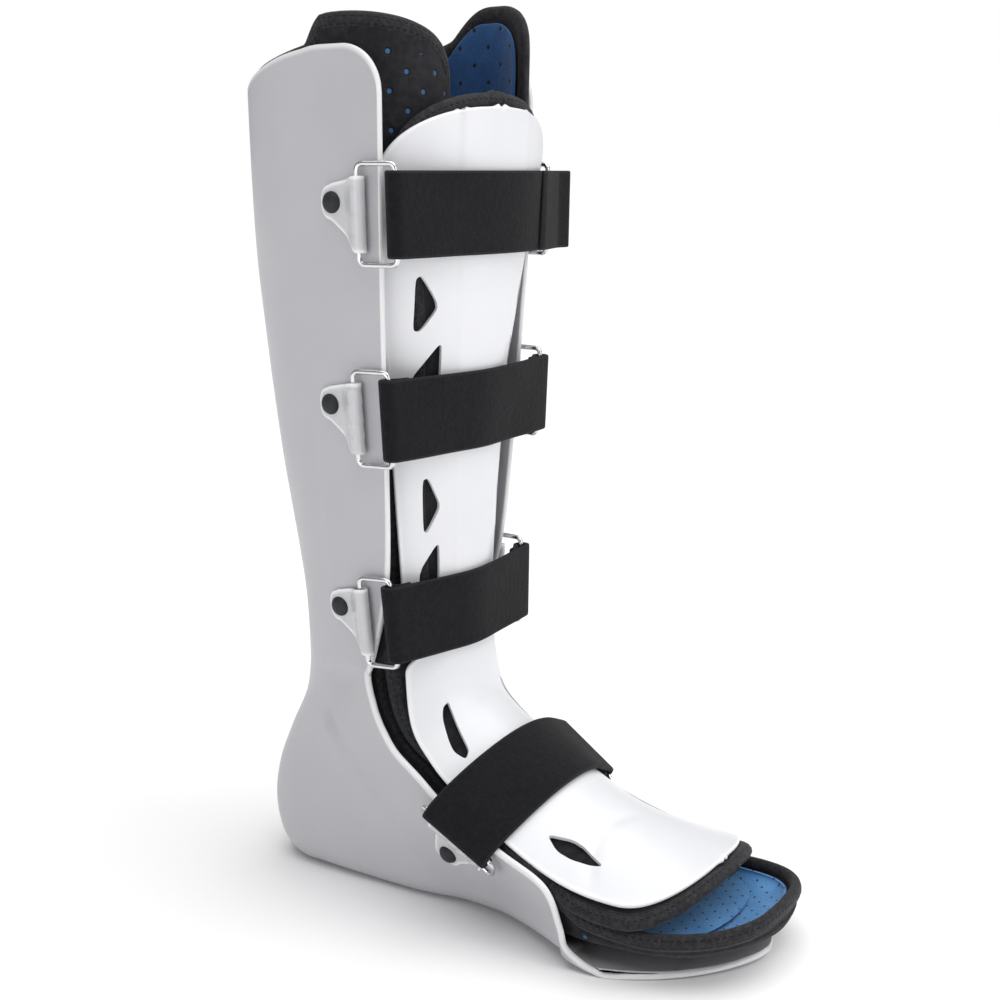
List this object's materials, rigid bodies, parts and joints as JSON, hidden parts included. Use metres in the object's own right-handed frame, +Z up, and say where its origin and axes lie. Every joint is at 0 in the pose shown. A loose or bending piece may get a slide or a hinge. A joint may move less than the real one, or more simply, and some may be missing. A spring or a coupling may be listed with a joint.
{
  "type": "walking boot",
  "caption": "High orthopaedic walking boot: moulded rear shell with sole, padded liner, white front plates with cut-outs and black straps on wire rings.",
  "frame": {"origin": "on the flat underside of the sole, below the ankle", "axes": "+Z up, the toe towards -Y, the wearer's inner side towards +X: a right boot"},
  "size_m": [0.1374, 0.2752, 0.4267],
  "materials": {
    "shell_plastic": "satin light grey moulded plastic",
    "plate_plastic": "satin white moulded plastic",
    "liner_cloth": "black perforated padded cloth with bound edges",
    "lining_cloth": "blue perforated brushed lining",
    "webbing": "black looped strap cloth",
    "ring_wire": "bright plated steel wire",
    "tab_plastic": "pale grey flexible plastic",
    "rivet_plastic": "black domed heads"
  },
  "bodies": {
    "root": {"foot_pad": "liner_cloth", "foot_plate": "plate_plastic", "insole": "lining_cloth", "liner_lining": "lining_cloth", "liner_pad": "liner_cloth", "rear_shell": "shell_plastic", "ring_1_far": "ring_wire", "ring_1_near": "ring_wire", "ring_2_far": "ring_wire", "ring_2_near": "ring_wire", "ring_3_far": "ring_wire", "ring_3_near": "ring_wire", "ring_4_far": "ring_wire", "ring_4_near": "ring_wire", "rivet_1_far": "rivet_plastic", "rivet_1_near": "rivet_plastic", "rivet_2_far": "rivet_plastic", "rivet_2_near": "rivet_plastic", "rivet_3_far": "rivet_plastic", "rivet_3_near": "rivet_plastic", "rivet_4_far": "rivet_plastic", "rivet_4_near": "rivet_plastic", "shin_pad": "liner_cloth", "shin_plate": "plate_plastic", "strap_1": "webbing", "strap_1_flap": "webbing", "strap_2": "webbing", "strap_3": "webbing", "strap_4": "webbing", "tab_1_far": "tab_plastic", "tab_1_near": "tab_plastic", "tab_2_far": "tab_plastic", "tab_2_near": "tab_plastic", "tab_3_far": "tab_plastic", "tab_3_near": "tab_plastic", "tab_4_far": "tab_plastic", "tab_4_near": "tab_plastic"}
  },
  "joints": []
}
